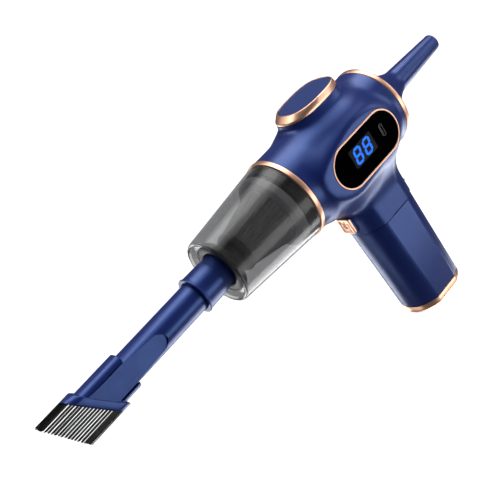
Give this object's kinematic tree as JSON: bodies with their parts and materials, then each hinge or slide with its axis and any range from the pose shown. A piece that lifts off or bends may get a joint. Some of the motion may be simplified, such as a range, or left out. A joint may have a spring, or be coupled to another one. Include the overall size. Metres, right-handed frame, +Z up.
{
  "type": "cordless hand vacuum",
  "caption": "Pistol-shaped cordless hand vacuum and blower with smoked dust cup, side display, crevice tube with slanted brush, and rear blower nozzle.",
  "frame": {"origin": "centre of the flat foot under the handle, on the surface it stands on", "axes": "+X along the air path from the suction brush towards the blower nozzle, +Z up along the handle, and the display faces -Y"},
  "size_m": [0.3898, 0.0666, 0.1787],
  "materials": {
    "blue_plastic": "satin-gloss moulded ABS, deep blue",
    "rose_gold": "rose-gold anodised, satin bright",
    "smoke_plastic": "clear smoked polycarbonate, polished",
    "display_glass": "black gloss acrylic",
    "display_light": "seven-segment display with lit blue digits",
    "black_plastic": "fine matte",
    "grey_plastic": "satin",
    "bristle": "extruded nylon filament",
    "filter_fabric": "pleated non-woven filter",
    "seal_rubber": "soft matte",
    "steel": "plated",
    "motor_metal": "plain shell",
    "cell_sleeve": "shrink-wrapped cell",
    "board": "solder-masked circuit board",
    "lead_red": "insulated wire"
  },
  "bodies": {
    "body": {"housing_right": "blue_plastic", "housing_left": "blue_plastic", "shell_screw_1": "steel", "shell_screw_2": "steel", "shell_screw_3": "steel", "shell_screw_4": "steel", "handle_sleeve": "blue_plastic", "base_cap": "rose_gold", "base_screw_1": "steel", "base_screw_2": "steel", "battery_cell_front": "cell_sleeve", "battery_cell_rear": "cell_sleeve", "battery_holder_lower": "black_plastic", "battery_holder_upper": "black_plastic", "front_trim_ring": "rose_gold", "rear_trim_ring": "rose_gold", "top_bezel": "rose_gold", "top_plate": "blue_plastic", "display_bezel": "rose_gold", "display_window": "display_glass", "display_module": "display_light", "control_board": "board", "usb_port": "steel", "usb_tongue": "black_plastic", "power_switch": "black_plastic", "switch_board": "board", "motor_can": "motor_metal", "motor_mount": "seal_rubber", "fan_shroud": "black_plastic", "inlet_bulkhead": "black_plastic", "exhaust_outlet": "blue_plastic", "motor_lead_live": "lead_red", "motor_lead_return": "black_plastic"},
    "rotor": {"motor_shaft": "steel", "impeller": "grey_plastic"},
    "button": {"power_button": "rose_gold"},
    "filter": {"filter_frame": "grey_plastic", "filter_element": "filter_fabric", "filter_cap": "grey_plastic", "cup_seal": "seal_rubber"},
    "cup": {"dust_cup": "smoke_plastic"},
    "collar": {"inlet_collar": "blue_plastic"},
    "tube": {"crevice_tube": "blue_plastic"},
    "brush": {"brush_socket": "blue_plastic", "bristles": "bristle"},
    "outlet": {"outlet_seal": "seal_rubber"},
    "blower": {"blower_nozzle": "blue_plastic"}
  },
  "joints": [
    {"name": "button_press", "type": "slide", "parent": "body", "child": "button", "axis": [1, 0, 0], "range_m": [0, 0.0015], "stiffness_N_per_m": 900},
    {"name": "rotor_spin", "type": "hinge", "parent": "body", "child": "rotor", "pos_m": [0, 0, 0.1375], "axis": [1, 0, 0], "continuous": true},
    {"name": "filter_pull", "type": "slide", "parent": "body", "child": "filter", "axis": [-1, 0, 0], "range_m": [0, 0.08]},
    {"name": "cup_twist", "type": "hinge", "parent": "filter", "child": "cup", "pos_m": [-0.07, 0, 0.1375], "axis": [1, 0, 0], "range_deg": [0, 20]},
    {"name": "nozzle_swivel", "type": "hinge", "parent": "cup", "child": "collar", "pos_m": [-0.13, 0, 0.1375], "axis": [1, 0, 0], "continuous": true},
    {"name": "tube_pull", "type": "slide", "parent": "collar", "child": "tube", "axis": [-1, 0, 0], "range_m": [0, 0.03]},
    {"name": "brush_pull", "type": "slide", "parent": "tube", "child": "brush", "axis": [-1, 0, 0], "range_m": [0, 0.045]},
    {"name": "outlet_twist", "type": "hinge", "parent": "body", "child": "outlet", "pos_m": [0.031, 0, 0.1375], "axis": [1, 0, 0], "range_deg": [0, 20]},
    {"name": "blower_pull", "type": "slide", "parent": "outlet", "child": "blower", "axis": [1, 0, 0], "range_m": [0, 0.04]}
  ]
}
